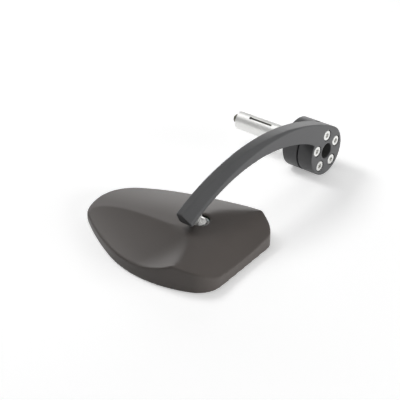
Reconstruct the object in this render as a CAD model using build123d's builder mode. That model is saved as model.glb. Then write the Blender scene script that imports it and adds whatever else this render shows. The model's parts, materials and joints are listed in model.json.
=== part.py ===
"""Motorcycle bar end mirror: sculpted mirror housing on a ball joint, arched arm, bar end expander.

Frame: X is the handlebar's axis, pointing out of the bar, with the origin at the centre of the
expander sleeve's shoulder, against the collar's bar-side face. Z is up, with the mirror lying
glass down. Millimetres.
"""

import os
from math import cos, radians, sin, sqrt

from build123d import *

# Fits
RUNNING_FIT = 0.05
THREAD_FIT = 0.03
SEAT_GAP = 0.05
GLASS_GAP = 0.3

# Round head, gasket and collar at the bar end
HEAD_DIAMETER = 34.0
HEAD_THICKNESS = 11.3
HEAD_EDGE = 0.6
GASKET_THICKNESS = 1.2
GASKET_DIAMETER = 32.4
COLLAR_THICKNESS = 12.0
COLLAR_CHAMFER = 1.0
COLLAR_LEAD_IN = 0.8
KEY_HOLE_DIAMETER = 10.5

# Five socket head screws that hold the arm's head to the collar
HEAD_SCREW_COUNT = 5
HEAD_SCREW_CIRCLE_DIAMETER = 22.3
HEAD_SCREW_DIAMETER = 4.0
HEAD_SCREW_LENGTH = 16.0
HEAD_SCREW_HEAD_DIAMETER = 7.0
HEAD_SCREW_HEAD_HEIGHT = 4.0
HEAD_SCREW_SOCKET = 3.0
HEAD_SCREW_SINK = 0.3
COUNTERBORE_DIAMETER = 7.7

# Expander inside the bar: slotted sleeve, cone nut and long bolt
SLEEVE_DIAMETER = 13.8
SLEEVE_BORE = 8.4
SLEEVE_REACH = 48.0
SPIGOT_DIAMETER = 12.4
SPIGOT_LENGTH = 5.0
SLOT_COUNT = 3
SLOT_WIDTH = 1.4
SLOT_START = 18.8
SLOT_LENGTH = 18.8
SLOT_EYE_DIAMETER = 2.2
TAPER_LENGTH = 9.0
TAPER_MOUTH_DIAMETER = 12.0
CONE_NUT_LENGTH = 7.5
CONE_NUT_INSET = 0.2
CONE_NUT_TRAVEL = 2.6
KEY_WIDTH = 1.2
KEY_LENGTH = 4.0
KEY_DIAMETER = 12.4
KEY_GAP = 0.15
BOLT_DIAMETER = 6.0
BOLT_LENGTH = 65.0
BOLT_HOLE_DIAMETER = 6.6
BOLT_HEAD_DIAMETER = 10.0
BOLT_HEAD_HEIGHT = 6.0
BOLT_SOCKET = 5.0
WASHER_DIAMETER = 10.2
WASHER_BORE = 6.4
WASHER_THICKNESS = 1.0
WASHER_RECESS = 1.2

# Arched arm: the upper edge is an arc that leaves the head's circle as a tangent
ARM_RADIUS = 153.5
ARM_LEAVE_ANGLE = 62.6
ARM_SWEEP = 57.3
ARM_WIDTH = 10.0
ARM_ROOT_HEIGHT = 13.4
ARM_MIDDLE_HEIGHT = 8.7
ARM_TIP_LENGTH = 8.3
ARM_TIP_TILT = 25.0
ARM_ROOT_STATION = 8.9
ARM_MIDDLE_STATION = 32.0
ARM_BACK_ROUND = 1.6
ARM_TIP_ROUND = 1.0
ARM_FACET_SHIFT = 6.9
ARM_FACET_DROP = 1.9
ARM_UNDER_SHIFT = 5.0

# Ball joint under the arm's tip
BALL_DIAMETER = 10.0
BALL_BEHIND_TIP = 15.84
BALL_BELOW_TIP = 13.08
BALL_ABOVE_RIM = 15.8
STUD_TILT = 25.0
STUD_NECK_DIAMETER = 4.8
STUD_SEAT = 10.2
STUD_HEX = 7.0
STUD_HEX_HEIGHT = 2.0
STUD_SPOT_DIAMETER = 8.6
STUD_THREAD_DIAMETER = 5.0
STUD_THREAD_LENGTH = 4.2
STUD_HOLE_SPARE = 0.3
CUP_WALL = 1.0
CUP_ABOVE = 1.9
CUP_BELOW = 4.2
MOUTH_DIAMETER = 13.0
MOUTH_DEPTH = 1.4
MOUTH_LIP = 2.2
CLAMP_DIAMETER = 25.2
CLAMP_THICKNESS = 3.0
CLAMP_BELOW_BALL = 2.0
CLAMP_SCREW_COUNT = 3
CLAMP_SCREW_CIRCLE_DIAMETER = 19.0
CLAMP_SCREW_DIAMETER = 3.0
CLAMP_SCREW_LENGTH = 6.3
CLAMP_SCREW_HEAD_DIAMETER = 5.5
CLAMP_SCREW_HEAD_HEIGHT = 2.0
CLAMP_SCREW_SOCKET = 2.0
CLAMP_HOLE_DIAMETER = 3.3
SPRING_WASHER_DIAMETER = 5.6
SPRING_WASHER_THICKNESS = 0.6

# Mirror housing, in its own plane: the ball's centre in plan, on the rim
HOUSING_WALL = 2.2
RIM_WALL = 2.2
LEDGE_WIDTH = 2.5
POCKET_DEPTH = 3.4
BLOCK_HEIGHT = 30.0
RIM_EDGE = 0.8
BOSS_DIAMETER = 26.0

# Rim outline: corner points, each with the middle point of the arc that leads to the next
RIGHT_FRONT = (36.4, -32.5)
RIGHT_BACK = (31.6, 30.3)
BACK_CORNER_MIDDLE = (16.0, 36.6)
BACK_RIGHT = (0.0, 42.2)
BACK_MIDDLE = (-31.5, 37.2)
BACK_LEFT = (-62.5, 23.7)
LEFT_MIDDLE = (-80.8, 1.5)
LEFT_FRONT = (-74.0, -21.3)
FRONT_LEFT_MIDDLE = (-56.0, -31.9)
FRONT_LEFT = (-35.5, -41.2)
FRONT_MIDDLE = (-5.5, -46.6)
RIGHT_FRONT_ROUND = 16.0
RIGHT_BACK_ROUND = 10.0
BACK_RIGHT_ROUND = 30.0
BACK_LEFT_ROUND = 60.0
LEFT_FRONT_ROUND = 20.0

# Sculpted back, heights above the rim: crown, centre facet, right panel and scallop
CROWN_POINT = (-39.0, 4.5, 13.35)
CROWN_RISE = 0.175
CROWN_RADIUS = 75.0
CROWN_FRONT_ANGLE = 6.9
CENTRE_POINT = (0.0, 0.0, 20.0)
CENTRE_SLOPE = (-0.20, 0.03)
RIGHT_POINT = (34.5, -4.5, 6.4)
RIGHT_SLOPE = (-0.62, -0.05)
RIGHT_HOLLOW_RADIUS = 250.0
SCALLOP_LOW_POINT = (-13.6, -45.1, 7.75)
SCALLOP_DIRECTION = (1.0, -0.318, 0.05)
SCALLOP_RADIUS = 60.0
SCALLOP_RUN = 150.0

# Rounding of the back's ridges: wide between centre facet and right panel, crisp along the crown
PANEL_RIDGE_POINT = (21.3, -9.2, 15.5)
PANEL_RIDGE_ROUND = 28.0
CROWN_CREASE_POINT = (-40.8, -8.9, 11.6)
CROWN_CREASE_ROUND = 1.5
RIDGE_ROUND = 2.5
RIM_CREASE_ANGLE = 20.0

# Mirror glass, ground to a slightly convex face, on a foam frame
GLASS_THICKNESS = 1.8
GLASS_RADIUS = 1400.0
GLASS_INSET = 0.1
GLASS_CENTRE = (-22.5, 0.5)
PAD_WIDTH = 6.0


def arc_point(centre, radius, angle):
    """Point on a circle in the arm's side view, at an angle in degrees from +Y."""
    return (centre[0] + radius * cos(radians(angle)), centre[1] + radius * sin(radians(angle)))


def hex_radius(across_flats):
    """Corner radius of a hexagon from its width across flats."""
    return across_flats / sqrt(3)


# Places worked out from the sizes above
HEAD_RADIUS = HEAD_DIAMETER / 2
HEAD_BACK = COLLAR_THICKNESS + GASKET_THICKNESS
HEAD_FRONT = HEAD_BACK + HEAD_THICKNESS
ARM_BACK = HEAD_FRONT - ARM_WIDTH
ARM_CENTRE_X = HEAD_FRONT - ARM_WIDTH / 2
SCREW_SEAT = HEAD_FRONT - HEAD_SCREW_SINK - HEAD_SCREW_HEAD_HEIGHT
SLEEVE_END = -SLEEVE_REACH
WASHER_SEAT = COLLAR_THICKNESS - WASHER_RECESS
BOLT_SEAT = WASHER_SEAT + WASHER_THICKNESS + SEAT_GAP
CUP_INNER = BALL_DIAMETER / 2 + RUNNING_FIT
CUP_OUTER = CUP_INNER + CUP_WALL
SOCKET_RADIUS = CUP_OUTER + RUNNING_FIT
ARC_CENTRE = arc_point((0, 0), HEAD_RADIUS - ARM_RADIUS, ARM_LEAVE_ANGLE)
ARM_TIP = arc_point(ARC_CENTRE, ARM_RADIUS, ARM_LEAVE_ANGLE + ARM_SWEEP)
BALL_CENTRE = Vector(ARM_CENTRE_X, ARM_TIP[0] + BALL_BEHIND_TIP, ARM_TIP[1] - BALL_BELOW_TIP)
RIM_HEIGHT = BALL_CENTRE.Z - BALL_ABOVE_RIM
STUD_AXIS = Vector(0, -sin(radians(STUD_TILT)), cos(radians(STUD_TILT)))
CLAMP_TOP = BALL_CENTRE.Z - CLAMP_BELOW_BALL
CLAMP_BOTTOM = CLAMP_TOP - CLAMP_THICKNESS
RIM_PLANE = Plane((BALL_CENTRE.X, BALL_CENTRE.Y, RIM_HEIGHT))
STUD_PLANE = Plane(BALL_CENTRE, x_dir=(1, 0, 0), z_dir=STUD_AXIS)


def rim_inset(inset):
    """Face of the rim's outline, with every line and arc moved inwards by inset."""
    outline = rim.sketch.face()
    moved = {}

    def inner(edge, share):
        """Point of the inner outline beside a point of an edge; edges share their end points."""
        point = edge @ share
        key = (round(point.X, 3), round(point.Y, 3))
        if key not in moved:
            tangent = edge % share
            normal = Vector(-tangent.Y, tangent.X)
            if normal.dot(outline.center() - point) < 0:
                normal = -normal
            moved[key] = point + normal * inset
        return moved[key]

    with BuildSketch() as face:
        with BuildLine():
            for edge in outline.outer_wire().edges():
                if edge.geom_type == GeomType.LINE:
                    Line(inner(edge, 0), inner(edge, 1))
                else:
                    ThreePointArc(inner(edge, 0), inner(edge, 0.5), inner(edge, 1))
        make_face()
    return face.sketch


def panel_plane(point, slope, drop):
    """Plane of one panel of the housing's back, moved inwards by drop."""
    origin = RIM_PLANE.from_local_coords(Vector(point))
    return Plane(origin, z_dir=(-slope[0], -slope[1], 1)).offset(-drop)


def sculpted_block(base, inset, drop):
    """Solid under the housing's sculpted back.

    Args:
        base: height of its flat underside above the rim.
        inset: distance of its sides inside the rim's outline.
        drop: distance of its back inside the housing's back.

    Returns:
        The solid, as a part.
    """
    with BuildPart() as block:
        with BuildSketch(RIM_PLANE.offset(base)):
            add(rim_inset(inset))
        extrude(amount=BLOCK_HEIGHT)
        split(bisect_by=panel_plane(CENTRE_POINT, CENTRE_SLOPE, drop), keep=Keep.BOTTOM)

        # Crown: an arc over the back half that runs out straight towards the front
        crown_origin = RIM_PLANE.from_local_coords(Vector(CROWN_POINT))
        radius = CROWN_RADIUS - drop
        centre = (0, -CROWN_RADIUS)
        run_out = arc_point(centre, radius, 90 + CROWN_FRONT_ANGLE)
        back = arc_point(centre, radius, 0)
        fall = sin(radians(CROWN_FRONT_ANGLE)) * CROWN_RADIUS
        ahead = cos(radians(CROWN_FRONT_ANGLE)) * CROWN_RADIUS
        front = (run_out[0] - ahead, run_out[1] - fall)
        with BuildSketch(Plane(crown_origin, x_dir=(0, 1, 0), z_dir=(1, 0, CROWN_RISE))):
            with BuildLine():
                Line(front, run_out)
                ThreePointArc(run_out, arc_point(centre, radius, 45), back)
                Polyline(back, (back[0], -2 * CROWN_RADIUS), (front[0], -2 * CROWN_RADIUS), front)
            make_face()
        extrude(amount=SCALLOP_RUN, both=True, mode=Mode.INTERSECT)

        # Right panel: very slightly hollow, so that its ridge is an arc
        panel = panel_plane(RIGHT_POINT, RIGHT_SLOPE, 0)
        with Locations(panel.offset(RIGHT_HOLLOW_RADIUS).origin):
            Sphere(RIGHT_HOLLOW_RADIUS + drop, mode=Mode.SUBTRACT)

        # Scallop: a round-ended trough across the front left
        trough_low = RIM_PLANE.from_local_coords(Vector(SCALLOP_LOW_POINT))
        trough = Plane(trough_low + (0, 0, SCALLOP_RADIUS), z_dir=SCALLOP_DIRECTION)
        with Locations(trough):
            Sphere(SCALLOP_RADIUS + drop, mode=Mode.SUBTRACT)
            Cylinder(
                SCALLOP_RADIUS + drop,
                SCALLOP_RUN,
                align=(Align.CENTER, Align.CENTER, Align.MAX),
                mode=Mode.SUBTRACT,
            )
    return block.part


def sharp_edges(shape, least=2.0):
    """Edges of a shape whose two faces meet at more than a least angle, in degrees."""
    found = ShapeList()
    for edge in shape.edges():
        sides = [face for face in shape.faces() if edge in face.edges()]
        normals = [face.normal_at(edge @ 0.5) for face in sides]
        if len(normals) == 2 and normals[0].get_angle(normals[1]) > least:
            found.append(edge)
    return found


def wall_edges(shape):
    """Edges of the upright faces of a shape."""
    walls = shape.faces().filter_by(lambda face: abs(face.normal_at().Z) < 0.05)
    return walls.edges()


# Outline of the mirror's rim
with BuildSketch() as rim:
    with BuildLine():
        Line(RIGHT_FRONT, RIGHT_BACK)
        ThreePointArc(RIGHT_BACK, BACK_CORNER_MIDDLE, BACK_RIGHT)
        ThreePointArc(BACK_RIGHT, BACK_MIDDLE, BACK_LEFT)
        ThreePointArc(BACK_LEFT, LEFT_MIDDLE, LEFT_FRONT)
        ThreePointArc(LEFT_FRONT, FRONT_LEFT_MIDDLE, FRONT_LEFT)
        ThreePointArc(FRONT_LEFT, FRONT_MIDDLE, RIGHT_FRONT)
    make_face()
    fillet(rim.vertices().sort_by_distance(RIGHT_FRONT)[0], RIGHT_FRONT_ROUND)
    fillet(rim.vertices().sort_by_distance(RIGHT_BACK)[0], RIGHT_BACK_ROUND)
    fillet(rim.vertices().sort_by_distance(BACK_RIGHT)[0], BACK_RIGHT_ROUND)
    fillet(rim.vertices().sort_by_distance(BACK_LEFT)[0], BACK_LEFT_ROUND)
    fillet(rim.vertices().sort_by_distance(LEFT_FRONT)[0], LEFT_FRONT_ROUND)

# Collar that sits against the bar's end
with BuildPart() as collar:
    with BuildSketch(Plane.YZ.offset(SEAT_GAP)):
        Circle(HEAD_RADIUS)
    extrude(amount=COLLAR_THICKNESS - SEAT_GAP)
    chamfer(collar.faces().sort_by(Axis.X)[0].edges(), COLLAR_CHAMFER)
    with BuildSketch(Plane.YZ):
        Circle(SPIGOT_DIAMETER / 2 + RUNNING_FIT)
    extrude(amount=SPIGOT_LENGTH + SEAT_GAP, mode=Mode.SUBTRACT)
    bore_mouth = collar.faces().sort_by(Axis.X)[0].edges().sort_by(SortBy.LENGTH)[0]
    chamfer(bore_mouth, COLLAR_LEAD_IN)
    with BuildSketch(Plane.YZ):
        Circle(BOLT_HOLE_DIAMETER / 2)
    extrude(amount=COLLAR_THICKNESS, mode=Mode.SUBTRACT)
    with BuildSketch(Plane.YZ.offset(WASHER_SEAT)):
        Circle(KEY_HOLE_DIAMETER / 2)
    extrude(amount=WASHER_RECESS, mode=Mode.SUBTRACT)
    with BuildSketch(Plane.YZ.offset(SCREW_SEAT - HEAD_SCREW_LENGTH - SEAT_GAP)):
        with PolarLocations(HEAD_SCREW_CIRCLE_DIAMETER / 2, HEAD_SCREW_COUNT, start_angle=90):
            Circle(HEAD_SCREW_DIAMETER / 2 + THREAD_FIT)
    extrude(until=Until.LAST, mode=Mode.SUBTRACT)

# Rubber gasket in the seam between collar and head
with BuildPart() as gasket:
    with BuildSketch(Plane.YZ.offset(COLLAR_THICKNESS)):
        Circle(GASKET_DIAMETER / 2)
        Circle(KEY_HOLE_DIAMETER / 2, mode=Mode.SUBTRACT)
        with PolarLocations(HEAD_SCREW_CIRCLE_DIAMETER / 2, HEAD_SCREW_COUNT, start_angle=90):
            Circle(HEAD_SCREW_DIAMETER / 2 + GLASS_GAP, mode=Mode.SUBTRACT)
    extrude(amount=GASKET_THICKNESS)

# Arm: arched beam with a facet that grows towards the tip, and the round head
root_angle = ARM_LEAVE_ANGLE + ARM_ROOT_STATION
middle_angle = ARM_LEAVE_ANGLE + ARM_MIDDLE_STATION
top_root = arc_point(ARC_CENTRE, ARM_RADIUS, ARM_LEAVE_ANGLE)
top_middle = arc_point(ARC_CENTRE, ARM_RADIUS, middle_angle)
under_root = arc_point(ARC_CENTRE, ARM_RADIUS - ARM_ROOT_HEIGHT, root_angle)
under_middle = arc_point(ARC_CENTRE, ARM_RADIUS - ARM_MIDDLE_HEIGHT, middle_angle)
under_tip = arc_point(ARM_TIP, ARM_TIP_LENGTH, ARM_TIP_TILT - 90)
with BuildPart() as arm:
    with BuildSketch(Plane.YZ.offset(ARM_BACK)):
        with BuildLine():
            ThreePointArc(top_root, top_middle, ARM_TIP)
            Line(ARM_TIP, under_tip)
            under_edge = ThreePointArc(under_tip, under_middle, under_root)
            Polyline(under_root, (0, 0), top_root)
        make_face()
    extrude(amount=ARM_WIDTH)
    back_edges = arm.faces().sort_by(Axis.X)[0].edges()
    fillet(back_edges.filter_by(GeomType.CIRCLE).sort_by(Axis.Z)[-1], ARM_BACK_ROUND)
    fillet(arm.faces().sort_by(Axis.Y)[0].edges(), ARM_TIP_ROUND)

    # The facet is a cone whose axis is shifted from the arc's, so that it runs out to nothing
    facet_centre = Vector(HEAD_FRONT, ARC_CENTRE[0] + ARM_FACET_SHIFT, ARC_CENTRE[1] - ARM_FACET_DROP)
    facet_plane = Plane(facet_centre, x_dir=(1, 0, 0), z_dir=(0, -1, 0))
    with BuildSketch(facet_plane):
        with BuildLine():
            Polyline(
                (0, ARM_RADIUS),
                (-ARM_WIDTH, ARM_RADIUS + ARM_WIDTH),
                (ARM_WIDTH, ARM_RADIUS + ARM_WIDTH),
                (ARM_WIDTH, ARM_RADIUS),
                close=True,
            )
        make_face()
    revolve(axis=Axis(facet_plane.origin, (1, 0, 0)), mode=Mode.SUBTRACT)
    under_centre = under_edge.arc_center
    under_radius = under_edge.radius
    under_plane = Plane(
        (HEAD_FRONT, under_centre.Y - ARM_UNDER_SHIFT, under_centre.Z),
        x_dir=(1, 0, 0),
        z_dir=(0, -1, 0),
    )
    with BuildSketch(under_plane):
        with BuildLine():
            Polyline(
                (0, under_radius),
                (-ARM_WIDTH, under_radius - ARM_WIDTH),
                (ARM_WIDTH, under_radius - ARM_WIDTH),
                (ARM_WIDTH, under_radius),
                close=True,
            )
        make_face()
    revolve(axis=Axis(under_plane.origin, (1, 0, 0)), mode=Mode.SUBTRACT)

    with BuildSketch(Plane.YZ.offset(HEAD_BACK)):
        Circle(HEAD_RADIUS)
    extrude(amount=HEAD_THICKNESS)
    with BuildSketch(Plane.YZ.offset(HEAD_BACK)):
        Circle(KEY_HOLE_DIAMETER / 2)
        with PolarLocations(HEAD_SCREW_CIRCLE_DIAMETER / 2, HEAD_SCREW_COUNT, start_angle=90):
            Circle(HEAD_SCREW_DIAMETER / 2 + THREAD_FIT)
    extrude(amount=HEAD_THICKNESS, mode=Mode.SUBTRACT)
    with BuildSketch(Plane.YZ.offset(SCREW_SEAT)):
        with PolarLocations(HEAD_SCREW_CIRCLE_DIAMETER / 2, HEAD_SCREW_COUNT, start_angle=90):
            Circle(COUNTERBORE_DIAMETER / 2)
    extrude(amount=HEAD_FRONT - SCREW_SEAT, mode=Mode.SUBTRACT)

    # Spot face and tapped hole for the ball stud
    with BuildSketch(STUD_PLANE.offset(STUD_SEAT)):
        Circle(STUD_SPOT_DIAMETER / 2)
    extrude(amount=-STUD_SEAT, mode=Mode.SUBTRACT)
    with BuildSketch(STUD_PLANE.offset(STUD_SEAT)):
        Circle(STUD_THREAD_DIAMETER / 2 + THREAD_FIT)
    extrude(amount=STUD_THREAD_LENGTH + STUD_HOLE_SPARE, mode=Mode.SUBTRACT)

# Five socket head screws in the head
with BuildPart() as head_screws:
    with BuildSketch(Plane.YZ.offset(SCREW_SEAT - HEAD_SCREW_LENGTH)):
        with PolarLocations(HEAD_SCREW_CIRCLE_DIAMETER / 2, HEAD_SCREW_COUNT, start_angle=90):
            Circle(HEAD_SCREW_DIAMETER / 2)
    extrude(amount=HEAD_SCREW_LENGTH)
    with BuildSketch(Plane.YZ.offset(SCREW_SEAT)):
        with PolarLocations(HEAD_SCREW_CIRCLE_DIAMETER / 2, HEAD_SCREW_COUNT, start_angle=90):
            Circle(HEAD_SCREW_HEAD_DIAMETER / 2)
    extrude(amount=HEAD_SCREW_HEAD_HEIGHT)
    with BuildSketch(Plane.YZ.offset(SCREW_SEAT + HEAD_SCREW_HEAD_HEIGHT)):
        with PolarLocations(HEAD_SCREW_CIRCLE_DIAMETER / 2, HEAD_SCREW_COUNT, start_angle=90):
            RegularPolygon(hex_radius(HEAD_SCREW_SOCKET), 6)
    extrude(amount=-HEAD_SCREW_HEAD_HEIGHT / 2, mode=Mode.SUBTRACT)

# Expander sleeve with closed slots, each with a relief eye at its far end
with BuildPart() as sleeve:
    with BuildSketch(Plane.XY):
        with BuildLine():
            Polyline(
                (SLEEVE_END, TAPER_MOUTH_DIAMETER / 2),
                (SLEEVE_END, SLEEVE_DIAMETER / 2),
                (0, SLEEVE_DIAMETER / 2),
                (0, SPIGOT_DIAMETER / 2),
                (SPIGOT_LENGTH, SPIGOT_DIAMETER / 2),
                (SPIGOT_LENGTH, SLEEVE_BORE / 2),
                (SLEEVE_END + TAPER_LENGTH, SLEEVE_BORE / 2),
                close=True,
            )
        make_face()
    revolve(axis=Axis.X)
    for slot in range(SLOT_COUNT):
        slot_angle = 60 + slot * 360 / SLOT_COUNT
        outward = Vector(0, -cos(radians(slot_angle)), sin(radians(slot_angle)))
        slot_plane = Plane((-SLOT_START, 0, 0), x_dir=(-1, 0, 0), z_dir=outward)
        with BuildSketch(slot_plane):
            with Locations((SLOT_LENGTH / 2, 0)):
                SlotOverall(SLOT_LENGTH, SLOT_WIDTH)
            with Locations((SLOT_LENGTH - SLOT_WIDTH / 2, 0)):
                Circle(SLOT_EYE_DIAMETER / 2)
        extrude(amount=SLEEVE_DIAMETER, mode=Mode.SUBTRACT)
    with BuildSketch(Plane.YZ.offset(SLEEVE_END)):
        with Locations((0, -KEY_DIAMETER / 4 - KEY_GAP / 2)):
            Rectangle(KEY_WIDTH + 2 * KEY_GAP, KEY_DIAMETER / 2 + KEY_GAP)
    extrude(amount=TAPER_LENGTH, mode=Mode.SUBTRACT)

# Cone nut inside the sleeve's tapered end, kept from turning by a key
taper = (TAPER_MOUTH_DIAMETER - SLEEVE_BORE) / 2 / TAPER_LENGTH
nut_back = SLEEVE_END + CONE_NUT_INSET
nut_back_radius = TAPER_MOUTH_DIAMETER / 2 - (CONE_NUT_INSET + CONE_NUT_TRAVEL) * taper - RUNNING_FIT
nut_front_radius = nut_back_radius - CONE_NUT_LENGTH * taper
with BuildPart() as cone_nut:
    with BuildSketch(Plane.XZ):
        with BuildLine():
            Polyline(
                (nut_back, BOLT_DIAMETER / 2 + THREAD_FIT),
                (nut_back, nut_back_radius),
                (nut_back + CONE_NUT_LENGTH, nut_front_radius),
                (nut_back + CONE_NUT_LENGTH, BOLT_DIAMETER / 2 + THREAD_FIT),
                close=True,
            )
        make_face()
    revolve(axis=Axis.X)
    with BuildSketch(Plane.YZ.offset(nut_back)):
        with Locations((0, -(KEY_DIAMETER + nut_front_radius * 2) / 4 + KEY_GAP / 2)):
            Rectangle(KEY_WIDTH, KEY_DIAMETER / 2 - nut_front_radius + KEY_GAP)
    extrude(amount=KEY_LENGTH)

# Expander bolt and its washer
with BuildPart() as bolt:
    with BuildSketch(Plane.YZ.offset(BOLT_SEAT - BOLT_LENGTH)):
        Circle(BOLT_DIAMETER / 2)
    extrude(amount=BOLT_LENGTH)
    chamfer(bolt.faces().sort_by(Axis.X)[0].edges(), HEAD_EDGE)
    with BuildSketch(Plane.YZ.offset(BOLT_SEAT)):
        Circle(BOLT_HEAD_DIAMETER / 2)
    extrude(amount=BOLT_HEAD_HEIGHT)
    chamfer(bolt.faces().sort_by(Axis.X)[-1].edges(), HEAD_EDGE)
    with BuildSketch(Plane.YZ.offset(BOLT_SEAT + BOLT_HEAD_HEIGHT)):
        RegularPolygon(hex_radius(BOLT_SOCKET), 6)
    extrude(amount=-BOLT_HEAD_HEIGHT / 2, mode=Mode.SUBTRACT)
with BuildPart() as washer:
    with BuildSketch(Plane.YZ.offset(WASHER_SEAT)):
        Circle(WASHER_DIAMETER / 2)
        Circle(WASHER_BORE / 2, mode=Mode.SUBTRACT)
    extrude(amount=WASHER_THICKNESS)

# Ball stud: ball, neck, hexagon and thread on one axis
with BuildPart() as stud:
    with Locations(BALL_CENTRE):
        Sphere(BALL_DIAMETER / 2)
    with BuildSketch(STUD_PLANE):
        Circle(STUD_NECK_DIAMETER / 2)
    extrude(amount=STUD_SEAT)
    with BuildSketch(STUD_PLANE.offset(STUD_SEAT - SEAT_GAP)):
        RegularPolygon(hex_radius(STUD_HEX), 6)
    extrude(amount=-STUD_HEX_HEIGHT)
    with BuildSketch(STUD_PLANE.offset(STUD_SEAT - SEAT_GAP)):
        Circle(STUD_THREAD_DIAMETER / 2)
    extrude(amount=STUD_THREAD_LENGTH)

# Ball cup: a zone of a spherical shell round the ball
with BuildPart() as cup:
    with Locations(BALL_CENTRE):
        Sphere(CUP_OUTER)
        Sphere(CUP_INNER, mode=Mode.SUBTRACT)
    split(bisect_by=Plane(BALL_CENTRE + (0, 0, CUP_ABOVE)), keep=Keep.BOTTOM)
    split(bisect_by=Plane(BALL_CENTRE - (0, 0, CUP_BELOW)), keep=Keep.TOP)

# Clamp plate that holds the cup up into the housing, with its screws and spring washers
clamp_plane = Plane((BALL_CENTRE.X, BALL_CENTRE.Y, CLAMP_BOTTOM))
washer_plane = clamp_plane.offset(-SPRING_WASHER_THICKNESS)
with BuildPart() as clamp_plate:
    with BuildSketch(clamp_plane):
        Circle(CLAMP_DIAMETER / 2)
        with PolarLocations(CLAMP_SCREW_CIRCLE_DIAMETER / 2, CLAMP_SCREW_COUNT, start_angle=30):
            Circle(CLAMP_HOLE_DIAMETER / 2, mode=Mode.SUBTRACT)
    extrude(amount=CLAMP_THICKNESS)
    with Locations(BALL_CENTRE):
        Sphere(SOCKET_RADIUS, mode=Mode.SUBTRACT)
with BuildPart() as spring_washers:
    with BuildSketch(washer_plane):
        with PolarLocations(CLAMP_SCREW_CIRCLE_DIAMETER / 2, CLAMP_SCREW_COUNT, start_angle=30):
            Circle(SPRING_WASHER_DIAMETER / 2)
            Circle(CLAMP_HOLE_DIAMETER / 2, mode=Mode.SUBTRACT)
    extrude(amount=SPRING_WASHER_THICKNESS)
with BuildPart() as clamp_screws:
    with BuildSketch(washer_plane):
        with PolarLocations(CLAMP_SCREW_CIRCLE_DIAMETER / 2, CLAMP_SCREW_COUNT, start_angle=30):
            Circle(CLAMP_SCREW_HEAD_DIAMETER / 2)
    extrude(amount=-CLAMP_SCREW_HEAD_HEIGHT)
    with BuildSketch(washer_plane):
        with PolarLocations(CLAMP_SCREW_CIRCLE_DIAMETER / 2, CLAMP_SCREW_COUNT, start_angle=30):
            Circle(CLAMP_SCREW_DIAMETER / 2)
    extrude(amount=CLAMP_SCREW_LENGTH)
    with BuildSketch(washer_plane.offset(-CLAMP_SCREW_HEAD_HEIGHT)):
        with PolarLocations(CLAMP_SCREW_CIRCLE_DIAMETER / 2, CLAMP_SCREW_COUNT, start_angle=30):
            RegularPolygon(hex_radius(CLAMP_SCREW_SOCKET), 6)
    extrude(amount=CLAMP_SCREW_HEAD_HEIGHT / 2, mode=Mode.SUBTRACT)

# Hollow of the housing, with the socket's boss left standing in it
with BuildPart() as hollow:
    add(sculpted_block(POCKET_DEPTH, RIM_WALL + LEDGE_WIDTH, HOUSING_WALL))
    with BuildSketch(Plane((BALL_CENTRE.X, BALL_CENTRE.Y, CLAMP_TOP))):
        Circle(BOSS_DIAMETER / 2)
    extrude(amount=BLOCK_HEIGHT, mode=Mode.SUBTRACT)

# Mirror housing
with BuildPart() as housing:
    add(sculpted_block(0, 0, 0))
    for ridge_point, ridge_round in (
        (PANEL_RIDGE_POINT, PANEL_RIDGE_ROUND),
        (CROWN_CREASE_POINT, CROWN_CREASE_ROUND),
    ):
        ridges = sharp_edges(housing.part) - wall_edges(housing.part)
        near_point = RIM_PLANE.from_local_coords(Vector(ridge_point))
        fillet(ridges.sort_by_distance(near_point)[0], ridge_round)
    fillet(sharp_edges(housing.part) - wall_edges(housing.part), RIDGE_ROUND)
    rim_creases = sharp_edges(housing.part, RIM_CREASE_ANGLE)
    fillet(rim_creases.filter_by_position(Axis.Z, RIM_HEIGHT + RIM_EDGE, BLOCK_HEIGHT), RIM_EDGE)
    with BuildSketch(RIM_PLANE):
        add(rim_inset(RIM_WALL))
    extrude(amount=POCKET_DEPTH, mode=Mode.SUBTRACT)
    add(hollow.part, mode=Mode.SUBTRACT)

    # Socket: a half ball above a straight bore, open upwards through a flared mouth
    with Locations(BALL_CENTRE):
        Sphere(SOCKET_RADIUS, mode=Mode.SUBTRACT)
    with BuildSketch(Plane((BALL_CENTRE.X, BALL_CENTRE.Y, CLAMP_TOP))):
        Circle(SOCKET_RADIUS)
    extrude(amount=CLAMP_BELOW_BALL, mode=Mode.SUBTRACT)
    lip_radius = sqrt(SOCKET_RADIUS**2 - MOUTH_LIP**2)
    flare = (MOUTH_DIAMETER / 2 - lip_radius) / MOUTH_DEPTH
    with Locations(BALL_CENTRE + (0, 0, MOUTH_LIP)):
        Cone(
            lip_radius,
            lip_radius + flare * HEAD_RADIUS,
            HEAD_RADIUS,
            align=(Align.CENTER, Align.CENTER, Align.MIN),
            mode=Mode.SUBTRACT,
        )
    with BuildSketch(Plane((BALL_CENTRE.X, BALL_CENTRE.Y, CLAMP_TOP))):
        with PolarLocations(CLAMP_SCREW_CIRCLE_DIAMETER / 2, CLAMP_SCREW_COUNT, start_angle=30):
            Circle(CLAMP_SCREW_DIAMETER / 2 + THREAD_FIT)
    extrude(
        amount=CLAMP_SCREW_LENGTH - SPRING_WASHER_THICKNESS - CLAMP_THICKNESS + SEAT_GAP,
        mode=Mode.SUBTRACT,
    )

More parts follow.
